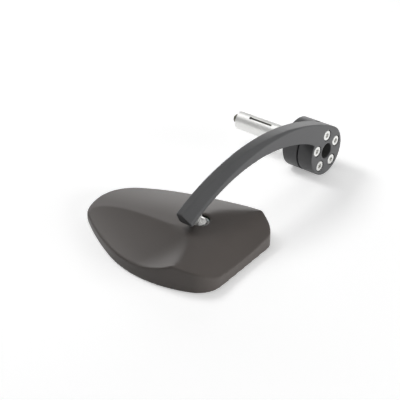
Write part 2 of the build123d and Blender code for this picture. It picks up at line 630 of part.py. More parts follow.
# Convex mirror glass and the foam frame that it is bonded to
glass_low = RIM_PLANE.from_local_coords(Vector(*GLASS_CENTRE, GLASS_INSET))
glass_sphere = glass_low + (0, 0, GLASS_RADIUS)
with BuildPart() as glass:
    with BuildSketch(RIM_PLANE):
        add(rim_inset(RIM_WALL + GLASS_GAP))
    extrude(amount=POCKET_DEPTH)
    with Locations(glass_sphere):
        Sphere(GLASS_RADIUS, mode=Mode.INTERSECT)
        Sphere(GLASS_RADIUS - GLASS_THICKNESS, mode=Mode.SUBTRACT)
with BuildPart() as pad:
    with BuildSketch(RIM_PLANE):
        add(rim_inset(RIM_WALL + GLASS_GAP))
    extrude(amount=POCKET_DEPTH)
    with BuildSketch(RIM_PLANE):
        add(rim_inset(RIM_WALL + GLASS_GAP + PAD_WIDTH))
    extrude(amount=POCKET_DEPTH, mode=Mode.SUBTRACT)
    with Locations(glass_sphere):
        Sphere(GLASS_RADIUS - GLASS_THICKNESS, mode=Mode.INTERSECT)

# One file for each piece
pieces = {
    "mirror_housing": housing,
    "mirror_glass": glass,
    "glass_pad": pad,
    "ball_stud": stud,
    "ball_cup": cup,
    "socket_clamp_plate": clamp_plate,
    "clamp_spring_washers": spring_washers,
    "clamp_screws": clamp_screws,
    "mirror_arm": arm,
    "head_screws": head_screws,
    "bar_end_collar": collar,
    "seam_gasket": gasket,
    "expander_sleeve": sleeve,
    "expander_cone_nut": cone_nut,
    "expander_bolt": bolt,
    "bolt_washer": washer,
}
os.makedirs("parts", exist_ok=True)
for name, piece in pieces.items():
    piece.part.label = name
    export_step(piece.part, f"parts/{name}.step")
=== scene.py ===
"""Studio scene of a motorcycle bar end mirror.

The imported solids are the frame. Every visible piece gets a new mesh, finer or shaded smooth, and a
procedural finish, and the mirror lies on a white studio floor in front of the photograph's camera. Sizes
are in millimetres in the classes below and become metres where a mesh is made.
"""

import json
import logging
import math
from collections.abc import Sequence
from dataclasses import dataclass
from enum import Enum
from typing import Any

import bmesh
import bpy
from mathutils import Matrix, Vector
from mathutils.kdtree import KDTree

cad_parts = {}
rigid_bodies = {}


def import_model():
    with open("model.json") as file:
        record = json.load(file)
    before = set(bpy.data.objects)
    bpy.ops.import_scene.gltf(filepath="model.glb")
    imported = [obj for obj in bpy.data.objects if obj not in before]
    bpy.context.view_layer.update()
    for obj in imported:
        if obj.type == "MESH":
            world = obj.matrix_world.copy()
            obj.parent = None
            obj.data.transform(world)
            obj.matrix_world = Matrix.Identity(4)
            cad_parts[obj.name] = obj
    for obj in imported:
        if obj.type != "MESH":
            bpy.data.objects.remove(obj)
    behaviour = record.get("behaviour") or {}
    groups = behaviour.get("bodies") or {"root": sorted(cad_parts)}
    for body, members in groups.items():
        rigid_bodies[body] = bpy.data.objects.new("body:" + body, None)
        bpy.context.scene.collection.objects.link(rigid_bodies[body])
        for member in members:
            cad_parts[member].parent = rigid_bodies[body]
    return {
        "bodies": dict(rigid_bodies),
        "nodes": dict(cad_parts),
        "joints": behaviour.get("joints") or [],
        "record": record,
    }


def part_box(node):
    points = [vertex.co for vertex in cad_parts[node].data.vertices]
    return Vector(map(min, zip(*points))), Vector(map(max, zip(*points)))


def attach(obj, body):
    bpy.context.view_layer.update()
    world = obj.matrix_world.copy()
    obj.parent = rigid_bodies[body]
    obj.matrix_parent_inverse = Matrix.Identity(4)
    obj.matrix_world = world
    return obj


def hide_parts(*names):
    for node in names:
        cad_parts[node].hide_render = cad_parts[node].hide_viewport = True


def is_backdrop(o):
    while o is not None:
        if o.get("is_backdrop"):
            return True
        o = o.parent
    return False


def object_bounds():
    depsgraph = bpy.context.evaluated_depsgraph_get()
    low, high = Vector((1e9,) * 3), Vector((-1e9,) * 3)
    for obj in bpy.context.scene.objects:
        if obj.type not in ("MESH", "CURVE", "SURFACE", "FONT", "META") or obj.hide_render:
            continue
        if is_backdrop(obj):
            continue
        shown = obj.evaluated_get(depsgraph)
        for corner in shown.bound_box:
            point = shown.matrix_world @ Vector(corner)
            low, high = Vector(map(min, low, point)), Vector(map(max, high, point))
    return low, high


MM = 0.001
RING_POINTS = 72
BAR_AXIS = Matrix.Rotation(math.radians(90.0), 4, "Y")
LOG = logging.getLogger("bar_end_mirror")

Colour = tuple[float, float, float]


class Signal:
    """One output socket of a shader node, which takes part in Python expressions."""

    def __init__(self, graph: "ShaderGraph", socket: bpy.types.NodeSocket) -> None:
        """Keeps the socket and the graph that its Math nodes go into."""
        self.graph = graph
        self.socket = socket

    def _math(self, operation: str, first: "Signal | float", second: "Signal | float") -> "Signal":
        """Adds one Math node.

        Args:
            operation: the node's operation.
            first: its first value.
            second: its second value.

        Returns:
            The node's value.
        """
        sockets = {0: first, 1: second}
        return self.graph.node("ShaderNodeMath", {"operation": operation}, sockets)["Value"]

    def __add__(self, other: "Signal | float") -> "Signal":
        """Sum."""
        return self._math("ADD", self, other)

    def __radd__(self, other: float) -> "Signal":
        """Sum with the number first."""
        return self._math("ADD", other, self)

    def __sub__(self, other: "Signal | float") -> "Signal":
        """Difference."""
        return self._math("SUBTRACT", self, other)

    def __rsub__(self, other: float) -> "Signal":
        """Difference with the number first."""
        return self._math("SUBTRACT", other, self)

    def __mul__(self, other: "Signal | float") -> "Signal":
        """Product."""
        return self._math("MULTIPLY", self, other)

    def __rmul__(self, other: float) -> "Signal":
        """Product with the number first."""
        return self._math("MULTIPLY", other, self)

    def most(self, other: "Signal | float") -> "Signal":
        """The larger of two values."""
        return self._math("MAXIMUM", self, other)

    def swing(self, width: float) -> "Signal":
        """A noise value's distance from its average, times a width."""
        return width * (self - 0.5)

    def step(self, low: float, high: float) -> "Signal":
        """Smooth step from 0 at low to 1 at high.

        Args:
            low: value at which the step starts.
            high: value at which it ends.

        Returns:
            The step, from 0 to 1.
        """
        settings = {"interpolation_type": "SMOOTHSTEP"}
        sockets = {"Value": self, "From Min": low, "From Max": high}
        return self.graph.node("ShaderNodeMapRange", settings, sockets)["Result"]


class NodeOutputs:
    """The outputs of one shader node, by name."""

    def __init__(self, graph: "ShaderGraph", node: bpy.types.ShaderNode) -> None:
        """Keeps the node and its graph."""
        self.graph = graph
        self.node = node

    def __getitem__(self, name: str) -> Signal:
        """Finds the visible output of a name.

        Args:
            name: the output's name.

        Returns:
            The output.
        """
        for socket in self.node.outputs:
            if socket.name == name and socket.enabled:
                return Signal(self.graph, socket)
        raise KeyError(name)


class ShaderGraph:
    """Node tree of one material or of the world."""

    def __init__(self, tree: bpy.types.NodeTree) -> None:
        """Empties the tree."""
        self.tree = tree
        self.tree.nodes.clear()

    def node(
        self,
        kind: str,
        settings: dict[str, Any] | None = None,
        sockets: dict[str | int, Any] | None = None,
    ) -> NodeOutputs:
        """Adds one node.

        Args:
            kind: the node's type.
            settings: its own settings, set before its sockets.
            sockets: values or signals for its inputs, by name or by place.

        Returns:
            The node's outputs.
        """
        made = self.tree.nodes.new(kind)
        for key, value in (settings or {}).items():
            setattr(made, key, value)
        for key, value in (sockets or {}).items():
            target = self._input(made, key)
            if isinstance(value, Signal):
                self.tree.links.new(value.socket, target)
            else:
                target.default_value = value
        return NodeOutputs(self, made)

    @staticmethod
    def _input(made: bpy.types.ShaderNode, key: str | int) -> bpy.types.NodeSocket:
        """Finds an input of a node.

        Args:
            made: the node.
            key: the input's place, or the name of an enabled input.

        Returns:
            The input.
        """
        if isinstance(key, int):
            return made.inputs[key]
        return next(socket for socket in made.inputs if socket.name == key and socket.enabled)

    def place(self, scale: tuple[float, float, float] = (1.0, 1.0, 1.0)) -> Signal:
        """Object coordinates, stretched by a scale along each axis."""
        coordinates = self.node("ShaderNodeTexCoord")["Object"]
        return self.node("ShaderNodeMapping", {}, {"Vector": coordinates, "Scale": scale})["Vector"]

    def noise(self, where: Signal, scale: float, detail: float = 2.0) -> Signal:
        """Noise value at a place.

        Args:
            where: coordinates.
            scale: number of features in a metre.
            detail: octaves of finer noise.

        Returns:
            The value, about 0.5 on average.
        """
        sockets = {"Vector": where, "Scale": scale, "Detail": detail}
        return self.node("ShaderNodeTexNoise", {}, sockets)["Fac"]

    def blend(self, share: Signal, first: Colour | Signal, second: Colour | Signal) -> Signal:
        """Colour between two colours.

        Args:
            share: 0 for the first colour and 1 for the second.
            first: linear colour.
            second: linear colour.

        Returns:
            The mixed colour.
        """
        ends = [end if isinstance(end, Signal) else (*end, 1.0) for end in (first, second)]
        sockets = {"Factor": share, "A": ends[0], "B": ends[1]}
        return self.node("ShaderNodeMix", {"data_type": "RGBA"}, sockets)["Result"]

    def shade(self, share: Signal, colour: Colour, first: float, second: float) -> Signal:
        """Colour that goes from one shade of a colour to another.

        Args:
            share: 0 for the first shade and 1 for the second.
            colour: linear colour.
            first: the first shade, as a factor on the colour.
            second: the second shade, as a factor on the colour.

        Returns:
            The shaded colour.
        """
        ends = [tuple(channel * factor for channel in colour) for factor in (first, second)]
        return self.blend(share, ends[0], ends[1])

    def bump(self, height: Signal, depth_mm: float, strength: float) -> Signal:
        """Normal of a surface with small hollows.

        Args:
            height: height from 0 to 1.
            depth_mm: depth of the hollows.
            strength: how strongly they show.

        Returns:
            The normal.
        """
        sockets = {"Height": height, "Distance": depth_mm * MM, "Strength": strength}
        return self.node("ShaderNodeBump", {}, sockets)["Normal"]


@dataclass(frozen=True)
class Finish:
    """A surface finish that makes one material."""

    name: str
    colour: Colour
    roughness: float

    def material(self) -> bpy.types.Material:
        """Makes the material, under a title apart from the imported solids' plain one.

        Returns:
            The material, or the one made before.
        """
        title = f"{self.name}_finish"
        found = bpy.data.materials.get(title)
        if found is not None:
            return found
        made = bpy.data.materials.new(title)
        made.use_nodes = True
        graph = ShaderGraph(made.node_tree)
        shader = graph.node("ShaderNodeBsdfPrincipled", {}, self.sockets(graph))["BSDF"]
        graph.node("ShaderNodeOutputMaterial", {}, {"Surface": shader})
        return made

    def sockets(self, graph: ShaderGraph) -> dict[str, Any]:
        """Values and signals for the shader's inputs."""
        raise NotImplementedError


@dataclass(frozen=True)
class SatinCoat(Finish):
    """Satin powder coat on cast aluminium, with a fine orange peel."""

    grain_per_m: float = 2400.0
    grain_depth_mm: float = 0.02
    grain_strength: float = 0.16
    grain_gloss: float = 0.06
    cloud_per_m: float = 45.0
    cloud_detail: float = 4.0
    cloud_gloss: float = 0.10
    cloud_share: float = 0.55
    darkest: float = 0.86
    lightest: float = 1.14
    specular: float = 0.5

    def sockets(self, graph: ShaderGraph) -> dict[str, Any]:
        """Coat colour with faint clouds, fine grain in roughness and normal.

        Args:
            graph: the material's graph.

        Returns:
            The shader's inputs.
        """
        where = graph.place()
        grain = graph.noise(where, self.grain_per_m)
        cloud = graph.noise(where, self.cloud_per_m, self.cloud_detail)
        mottle = self.cloud_share * cloud + (1.0 - self.cloud_share) * grain
        return {
            "Base Color": graph.shade(mottle, self.colour, self.darkest, self.lightest),
            "Roughness": self.roughness + cloud.swing(self.cloud_gloss) + grain.swing(self.grain_gloss),
            "Specular IOR Level": self.specular,
            "Normal": graph.bump(grain, self.grain_depth_mm, self.grain_strength),
        }


@dataclass(frozen=True)
class BoreShadeCoat(SatinCoat):
    """Satin coat with painted shade in an upright bore: the bore's wall is coloured near black, as the
    shade in its deep mouth.
    """

    bore: tuple[float, float] = (0.0, 0.0)
    bore_radius: float = 1.0
    # painted shade: near-black colour of the bore's wall, and the radii over which the coat fades into it
    bore_shade_colour: Colour = (0.006, 0.006, 0.006)
    bore_dullness: float = 0.4
    coat_edge: float = 0.25
    shade_edge: float = -0.05

    def sockets(self, graph: ShaderGraph) -> dict[str, Any]:
        """The coat's values, with painted shade in the bore: its wall dull and near black.

        Args:
            graph: the material's graph.

        Returns:
            The shader's inputs.
        """
        made = super().sockets(graph)
        axis = (self.bore[0] * MM, self.bore[1] * MM, 0.0)
        sockets = {0: graph.place((1.0, 1.0, 0.0)), 1: axis}
        reach = graph.node("ShaderNodeVectorMath", {"operation": "DISTANCE"}, sockets)["Value"]
        coated = (self.bore_radius + self.coat_edge) * MM
        black = (self.bore_radius + self.shade_edge) * MM
        # painted shade: towards the bore's axis the base colour fades from the coat to near black,
        # standing in for the shade in the deep mouth
        bore_shade_mask = reach.step(coated, black)
        made["Base Color"] = graph.blend(bore_shade_mask, made["Base Color"], self.bore_shade_colour)
        made["Roughness"] = made["Roughness"] + self.bore_dullness * bore_shade_mask
        return made


@dataclass(frozen=True)
class TurnedMetal(Finish):
    """Bare metal with tool marks that run round one axis."""

    along: tuple[float, float, float] = (1.0, 0.0, 0.0)
    marks_per_m: float = 3200.0
    mark_detail: float = 1.0
    mark_depth_mm: float = 0.012
    mark_strength: float = 0.12
    mark_gloss: float = 0.10
    tarnish_per_m: float = 160.0
    tarnish_detail: float = 3.0
    tarnish_gloss: float = 0.06
    darkest: float = 0.93
    lightest: float = 1.05
    metallic: float = 1.0

    def sockets(self, graph: ShaderGraph) -> dict[str, Any]:
        """Metal with fine rings and a little tarnish.

        Args:
            graph: the material's graph.

        Returns:
            The shader's inputs.
        """
        rings = graph.noise(graph.place(self.along), self.marks_per_m, self.mark_detail)
        tarnish = graph.noise(graph.place(), self.tarnish_per_m, self.tarnish_detail)
        return {
            "Base Color": graph.shade(tarnish, self.colour, self.darkest, self.lightest),
            "Metallic": self.metallic,
            "Roughness": self.roughness + rings.swing(self.mark_gloss) + tarnish.swing(self.tarnish_gloss),
            "Normal": graph.bump(rings, self.mark_depth_mm, self.mark_strength),
        }


@dataclass(frozen=True)
class DarkOxide(Finish):
    """Dark oxide on steel, rubbed a little on its high spots."""

    rubbed_per_m: float = 420.0
    rubbed_detail: float = 4.0
    rubbed_range: tuple[float, float] = (0.55, 0.8)
    rubbed_light: float = 2.2
    rubbed_gloss: float = 0.12
    grain_per_m: float = 2600.0
    grain_gloss: float = 0.08
    grain_depth_mm: float = 0.015
    grain_strength: float = 0.15
    metallic: float = 0.4

    def sockets(self, graph: ShaderGraph) -> dict[str, Any]:
        """Dark metal with rubbed patches.

        Args:
            graph: the material's graph.

        Returns:
            The shader's inputs.
        """
        where = graph.place()
        rubbed = graph.noise(where, self.rubbed_per_m, self.rubbed_detail).step(*self.rubbed_range)
        grain = graph.noise(where, self.grain_per_m)
        return {
            "Base Color": graph.shade(rubbed, self.colour, 1.0, self.rubbed_light),
            "Metallic": self.metallic,
            "Roughness": self.roughness - self.rubbed_gloss * rubbed + grain.swing(self.grain_gloss),
            "Normal": graph.bump(grain, self.grain_depth_mm, self.grain_strength),
        }


@dataclass(frozen=True)
class SilveredGlass(Finish):
    """Silvered mirror glass with a trace of haze."""

    haze_per_m: float = 28.0
    haze_detail: float = 5.0
    haze_range: tuple[float, float] = (0.48, 0.8)
    haze_shade: float = 0.97
    haze_dullness: float = 0.03

    def sockets(self, graph: ShaderGraph) -> dict[str, Any]:
        """Bright mirror, hazy in soft patches.

        Args:
            graph: the material's graph.

        Returns:
            The shader's inputs.
        """
        haze = graph.noise(graph.place(), self.haze_per_m, self.haze_detail).step(*self.haze_range)
        return {
            "Base Color": graph.shade(haze, self.colour, 1.0, self.haze_shade),
            "Metallic": 1.0,
            "Roughness": self.roughness + self.haze_dullness * haze,
            "Coat Weight": 0.4,
            "Coat Roughness": 0.01,
        }


@dataclass(frozen=True)
class SoftBlack(Finish):
    """Rubber or foam with an even fine grain."""

    grain_per_m: float = 1800.0
    grain_detail: float = 3.0
    grain_depth_mm: float = 0.05
    grain_strength: float = 0.3
    grain_gloss: float = 0.1
    darkest: float = 0.75
    lightest: float = 1.3

    def sockets(self, graph: ShaderGraph) -> dict[str, Any]:
        """Dull black with a grain.

        Args:
            graph: the material's graph.

        Returns:
            The shader's inputs.
        """
        grain = graph.noise(graph.place(), self.grain_per_m, self.grain_detail)
        return {
            "Base Color": graph.shade(grain, self.colour, self.darkest, self.lightest),
            "Roughness": self.roughness + grain.swing(self.grain_gloss),
            "Specular IOR Level": 0.3,
            "Normal": graph.bump(grain, self.grain_depth_mm, self.grain_strength),
        }


@dataclass(frozen=True)
class BearingPlastic(Finish):
    """Smooth pale bearing plastic."""

    cloud_per_m: float = 320.0
    cloud_detail: float = 3.0
    cloud_gloss: float = 0.08
    darkest: float = 0.94
    lightest: float = 1.04

    def sockets(self, graph: ShaderGraph) -> dict[str, Any]:
        """Pale plastic with soft clouds under its skin.

        Args:
            graph: the material's graph.

        Returns:
            The shader's inputs.
        """
        cloud = graph.noise(graph.place(), self.cloud_per_m, self.cloud_detail)
        return {
            "Base Color": graph.shade(cloud, self.colour, self.darkest, self.lightest),
            "Roughness": self.roughness + cloud.swing(self.cloud_gloss),
            "Subsurface Weight": 0.1,
            "Subsurface Scale": 0.5 * MM,
        }


class Finishes(Enum):
    """The finishes of this mirror, each with the record's slot as its name."""

    # the housing coat carries painted shade in the ball's bore
    HOUSING_COAT = BoreShadeCoat(
        "housing_coat", (0.088, 0.0775, 0.0715), 0.46, specular=0.33, bore=(19.5, -123.5), bore_radius=6.1
    )
    ARM_COAT = SatinCoat("arm_coat", (0.096, 0.0965, 0.0985), 0.42, specular=0.26)
    MIRROR_GLASS = SilveredGlass("mirror_glass", (0.87, 0.89, 0.9), 0.015)
    FOAM = SoftBlack("foam", (0.03, 0.03, 0.03), 0.9)
    BRIGHT_STEEL = TurnedMetal("bright_steel", (0.84, 0.84, 0.82), 0.26, metallic=0.6)
    PLATED_STEEL = TurnedMetal("plated_steel", (0.62, 0.62, 0.61), 0.32, along=(0.0, 0.0, 1.0))
    DARK_STEEL = DarkOxide("dark_steel", (0.26, 0.255, 0.2), 0.42)
    TURNED_ALUMINIUM = TurnedMetal("turned_aluminium", (0.93, 0.93, 0.91), 0.36, metallic=0.7)
    ACETAL = BearingPlastic("acetal", (0.72, 0.72, 0.70), 0.3)
    BLACK_RUBBER = SoftBlack("black_rubber", (0.012, 0.012, 0.013), 0.6)

    @property
    def slot(self) -> str:
        """Name of the record's material slot."""
        return self.value.name

    def material(self) -> bpy.types.Material:
        """The finish's material."""
        return self.value.material()


def settle(piece: bpy.types.Object) -> None:
    """Keeps what a piece's modifiers make as its plain mesh.

    Args:
        piece: the piece, which has no modifier afterwards.
    """
    graph = bpy.context.evaluated_depsgraph_get()
    graph.update()
    mesh = bpy.data.meshes.new_from_object(piece.evaluated_get(graph))
    piece.modifiers.clear()
    piece.data = mesh


class GeometryTree:
    """Geometry Nodes tree with named inputs, which finishes an object's mesh."""

    def __init__(self, name: str, inputs: dict[str, str]) -> None:
        """Makes the tree's interface.

        Args:
            name: the tree's name.
            inputs: socket type of each input, by name; the geometry comes first by itself.
        """
        self.tree = bpy.data.node_groups.new(name, "GeometryNodeTree")
        interface = self.tree.interface
        interface.new_socket("Geometry", in_out="INPUT", socket_type="NodeSocketGeometry")
        self.identifiers = {
            key: interface.new_socket(key, in_out="INPUT", socket_type=kind).identifier
            for key, kind in inputs.items()
        }
        interface.new_socket("Geometry", in_out="OUTPUT", socket_type="NodeSocketGeometry")
        self.start = self.tree.nodes.new("NodeGroupInput")

    def feed(self, target: bpy.types.NodeSocket, value: Any) -> None:
        """Links a socket to an input, or sets the input's number.

        Args:
            target: the input.
            value: an output socket or a number.
        """
        if isinstance(value, bpy.types.NodeSocket):
            self.tree.links.new(value, target)
        else:
            target.default_value = value

    def node(self, kind: str, settings: dict[str, Any], sockets: dict[str, Any]) -> bpy.types.Node:
        """Adds one node.

        Args:
            kind: the node's type.
            settings: its own settings.
            sockets: numbers, or output sockets to link, by input name.

        Returns:
            The node.
        """
        made = self.tree.nodes.new(kind)
        for key, value in settings.items():
            setattr(made, key, value)
        for key, value in sockets.items():
            target = next(s for s in made.inputs if s.name == key and s.enabled)
            for source in value if isinstance(value, list) else [value]:
                self.feed(target, source)
        return made

    def maths(self, operation: str, *values: Any) -> bpy.types.NodeSocket:
        """Adds one Math node.

        Args:
            operation: the node's operation.
            values: numbers or sockets, in the order of its inputs.

        Returns:
            The node's result.
        """
        made = self.tree.nodes.new("ShaderNodeMath")
        made.operation = operation
        for target, value in zip(made.inputs, values):
            self.feed(target, value)
        return made.outputs[0]

    def finish(self, geometry: bpy.types.NodeSocket) -> None:
        """Ends the tree in Realize Instances and Set Material.

        Args:
            geometry: what the tree has made.
        """
        real = self.node("GeometryNodeRealizeInstances", {}, {"Geometry": geometry})
        sockets = {"Geometry": real.outputs[0], "Material": self.start.outputs["Finish"]}
        dressed = self.node("GeometryNodeSetMaterial", {}, sockets)
        self.node("NodeGroupOutput", {}, {"Geometry": dressed.outputs[0]})

    def apply(self, piece: bpy.types.Object, values: dict[str, Any]) -> None:
        """Runs the tree on a piece and keeps the result as its plain mesh.

        Args:
            piece: object whose mesh the tree works on.
            values: the inputs' values, by name.
        """
        modifier = piece.modifiers.new(self.tree.name, "NODES")
        modifier.node_group = self.tree
        for key, value in values.items():
            modifier[self.identifiers[key]] = value
        settle(piece)


def ring_pattern() -> GeometryTree:
    """Repeats a mesh on a circle, turned with the circle.

    Returns:
        The tree, with count, radius and first angle as inputs.
    """
    inputs = {
        "Count": "NodeSocketInt",
        "Circle": "NodeSocketFloat",
        "Start": "NodeSocketFloat",
        "Finish": "NodeSocketMaterial",
    }
    tree = GeometryTree("screw_ring", inputs)
    start = tree.start.outputs
    index = tree.node("GeometryNodeInputIndex", {}, {}).outputs[0]
    pitch = tree.maths("DIVIDE", 2 * math.pi, start["Count"])
    angle = tree.maths("MULTIPLY_ADD", index, pitch, start["Start"])
    across = tree.maths("MULTIPLY", tree.maths("COSINE", angle), start["Circle"])
    along = tree.maths("MULTIPLY", tree.maths("SINE", angle), start["Circle"])
    spot = tree.node("ShaderNodeCombineXYZ", {}, {"X": across, "Y": along}).outputs[0]
    turn = tree.node("ShaderNodeCombineXYZ", {}, {"Z": angle}).outputs[0]
    points = tree.node("GeometryNodePoints", {}, {"Count": start["Count"], "Position": spot}).outputs[0]
    sockets = {"Points": points, "Instance": start["Geometry"], "Rotation": turn}
    copies = tree.node("GeometryNodeInstanceOnPoints", {}, sockets)
    tree.finish(copies.outputs[0])
    return tree


def thread_helix() -> GeometryTree:
    """Winds a screw thread round the Z axis of a core.

    Returns:
        The tree, with the thread's sizes as inputs.
    """
    points_per_turn = 28
    crest_sides = 4
    inputs = {
        "Turns": "NodeSocketFloat",
        "Length": "NodeSocketFloat",
        "Radius": "NodeSocketFloat",
        "Crest": "NodeSocketFloat",
        "Bottom": "NodeSocketFloat",
        "Finish": "NodeSocketMaterial",
    }
    tree = GeometryTree("thread_helix", inputs)
    start = tree.start.outputs
    sockets = {
        "Resolution": points_per_turn,
        "Rotations": start["Turns"],
        "Start Radius": start["Radius"],
        "End Radius": start["Radius"],
        "Height": start["Length"],
    }
    spiral = tree.node("GeometryNodeCurveSpiral", {}, sockets)
    upright = tree.node("GeometryNodeSetCurveNormal", {"mode": "Z_UP"}, {"Curve": spiral.outputs[0]})
    sockets = {"Resolution": crest_sides, "Radius": start["Crest"]}
    profile = tree.node("GeometryNodeCurvePrimitiveCircle", {"mode": "RADIUS"}, sockets)
    sockets = {"Curve": upright.outputs[0], "Profile Curve": profile.outputs[0], "Fill Caps": True}
    ridge = tree.node("GeometryNodeCurveToMesh", {}, sockets)
    lift = tree.node("ShaderNodeCombineXYZ", {}, {"Z": start["Bottom"]}).outputs[0]
    placed = tree.node("GeometryNodeTransform", {}, {"Geometry": ridge.outputs[0], "Translation": lift})
    sockets = {"Geometry": placed.outputs[0], "Shade Smooth": False}
    sharp = tree.node("GeometryNodeSetShadeSmooth", {}, sockets)
    joined = tree.node("GeometryNodeJoinGeometry", {}, {"Geometry": [sharp.outputs[0], start["Geometry"]]})
    tree.finish(joined.outputs[0])
    return tree


class Section(Enum):
    """Cross-section of one ring of a turned piece."""

    ROUND = "round"
    HEXAGON = "hexagon"


@dataclass(frozen=True)
class Ring:
    """One ring of a turned piece: its height on the axis, its half width and its section."""

    height: float
    half_width: float
    section: Section = Section.ROUND

    def points(self) -> list[Vector]:
        """Places the ring's points; a hexagon's half width is measured to its flats.

        Returns:
            The points, in metres.
        """
        points = []
        for step in range(RING_POINTS):
            angle = 2 * math.pi * step / RING_POINTS
            reach = self.half_width
            if self.section is Section.HEXAGON:
                reach /= math.cos((angle + math.pi / 6) % (math.pi / 3) - math.pi / 6)
            points.append(Vector((reach * math.cos(angle), reach * math.sin(angle), self.height)) * MM)
        return points


def soften(mesh: bpy.types.Mesh, crease_deg: float) -> None:
    """Shades a mesh smooth, apart from edges above an angle."""
    mesh.shade_smooth()
    mesh.set_sharp_from_angle(angle=math.radians(crease_deg))


def new_object(name: str, mesh: bpy.types.Mesh) -> bpy.types.Object:
    """Makes an object for a mesh and links it to the scene.

    Args:
        name: the object's name.
        mesh: its mesh.

    Returns:
        The object.
    """
    made = bpy.data.objects.new(name, mesh)
    bpy.context.scene.collection.objects.link(made)
    return made


def turned_piece(name: str, rings: Sequence[Ring], crease_deg: float = 28.0) -> bpy.types.Object:
    """Closed piece through a stack of rings.

    Args:
        name: the piece's name.
        rings: rings from one end to the other; the ends are closed at the axis.
        crease_deg: angle above which an edge stays sharp.

    Returns:
        The piece, about the Z axis.
    """
    shape = bmesh.new()
    loops = [[shape.verts.new(point) for point in ring.points()] for ring in rings]
    for low, high in zip(loops, loops[1:]):
        for step in range(RING_POINTS):
            after = (step + 1) % RING_POINTS
            shape.faces.new((low[step], low[after], high[after], high[step]))
    for loop, ring in ((loops[0], rings[0]), (loops[-1], rings[-1])):
        centre = shape.verts.new((0.0, 0.0, ring.height * MM))
        for step in range(RING_POINTS):
            shape.faces.new((loop[step], loop[(step + 1) % RING_POINTS], centre))
    bmesh.ops.recalc_face_normals(shape, faces=shape.faces)
    mesh = bpy.data.meshes.new(name)
    shape.to_mesh(mesh)
    shape.free()
    soften(mesh, crease_deg)
    return new_object(name, mesh)


@dataclass(frozen=True)
class SocketScrew:
    """Socket head screw with its seat at height 0 and its head above."""

    length: float
    shank: float
    head_diameter: float
    head_height: float
    socket: float
    edge: float
    tip_share: float = 0.72
    socket_ease: float = 0.16
    floor_share: float = 0.45
    drill_drop: float = 0.35

    def shank_rings(self) -> list[Ring]:
        """Stacks the rings of the plain shank.

        Returns:
            The rings, from the tip to just under the seat.
        """
        radius = self.shank / 2
        return [
            Ring(-self.length, radius * self.tip_share),
            Ring(-self.length + radius * (1.0 - self.tip_share), radius),
        ]

    def head_rings(self) -> list[Ring]:
        """Stacks the rings of the head and its socket.

        Returns:
            The rings, from the shank at the seat to the socket's floor.
        """
        radius = self.head_diameter / 2
        rings = [
            Ring(0.0, self.shank / 2),
            Ring(0.0, radius - self.edge / 3),
            Ring(self.edge / 3, radius),
        ]
        edge_parts = 4
        for step in range(edge_parts + 1):
            angle = math.radians(90.0 * step / edge_parts)
            height = self.head_height - self.edge + self.edge * math.sin(angle)
            rings.append(Ring(height, radius - self.edge + self.edge * math.cos(angle)))
        flat = self.socket / 2
        floor = self.head_height * self.floor_share
        return rings + [
            Ring(self.head_height, flat + self.socket_ease, Section.HEXAGON),
            Ring(self.head_height - self.socket_ease, flat, Section.HEXAGON),
            Ring(floor, flat, Section.HEXAGON),
            Ring(floor - self.drill_drop, self.socket / 8),
        ]


@dataclass
class SubAssembly:
    """A group of pieces that is built and dressed together."""

    frame: dict[str, Any]

    def smooth_copy(self, node: str, name: str, crease_deg: float = 24.0) -> bpy.types.Object:
        """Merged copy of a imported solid, shaded smooth.

        Args:
            node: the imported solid's name.
            name: the new piece's name.
            crease_deg: angle above which an edge stays sharp.

        Returns:
            The new piece.
        """
        mesh = self.frame["nodes"][node].data.copy()
        if "custom_normal" in mesh.attributes:
            mesh.attributes.remove(mesh.attributes["custom_normal"])
        shape = bmesh.new()
        shape.from_mesh(mesh)
        bmesh.ops.remove_doubles(shape, verts=shape.verts, dist=1e-6)
        bmesh.ops.dissolve_degenerate(shape, edges=shape.edges, dist=1e-7)
        shape.to_mesh(mesh)
        shape.free()
        soften(mesh, crease_deg)
        return new_object(name, mesh)

    def add_smooth(self, piece: bpy.types.Object, name: str, steps: int) -> bpy.types.SmoothModifier:
        """Adds smoothing to a piece.

        Args:
            piece: the piece.
            name: the modifier's name.
            steps: smoothing steps.

        Returns:
            The modifier.
        """
        smooth = piece.modifiers.new(name, "SMOOTH")
        smooth.factor = 0.5
        smooth.iterations = steps
        return smooth

    def even_skin(self, piece: bpy.types.Object, voxel: float, steps: int) -> None:
        """Remeshes a piece to an even skin with softened edges.

        Args:
            piece: the piece.
            voxel: edge length of the new skin in mm.
            steps: smoothing steps over the whole skin.
        """
        remesh = piece.modifiers.new("even_skin", "REMESH")
        remesh.mode = "VOXEL"
        remesh.voxel_size = voxel * MM
        self.add_smooth(piece, "soft_edges", steps)
        settle(piece)

    def dress(self, piece: bpy.types.Object, finish: Finishes, body: str, *nodes: str) -> None:
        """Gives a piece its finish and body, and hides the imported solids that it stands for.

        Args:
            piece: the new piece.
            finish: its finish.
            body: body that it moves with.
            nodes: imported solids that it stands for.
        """
        piece.data.materials.clear()
        piece.data.materials.append(finish.material())
        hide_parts(*nodes)
        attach(piece, body)
        finish.slot
        LOG.info("%s: %d faces, %s", piece.name, len(piece.data.polygons), finish.slot)


def eased(part: float) -> float:
    """A number held between 0 and 1, with soft ends."""
    held = min(max(part, 0.0), 1.0)
    return held * held * (3.0 - 2.0 * held)


@dataclass(frozen=True)
class SoftRidge:
    """Ridge of the housing's back that blends softly, as a line seen from above, in mm."""

    path: tuple[tuple[float, float], ...]
    reach: float

    def weight(self, spot: Vector) -> float:
        """Weighs how much a point takes part in the blend.

        Args:
            spot: the point, in mm.

        Returns:
            The weight, from 0 to 1.
        """
        gaps = []
        for first, last in zip(self.path, self.path[1:]):
            start = Vector(first)
            run = Vector(last) - start
            part = (spot.xy - start).dot(run) / run.length_squared
            gaps.append((spot.xy - start - run * min(max(part, 0.0), 1.0)).length)
        return eased(1.0 - min(gaps) / self.reach)


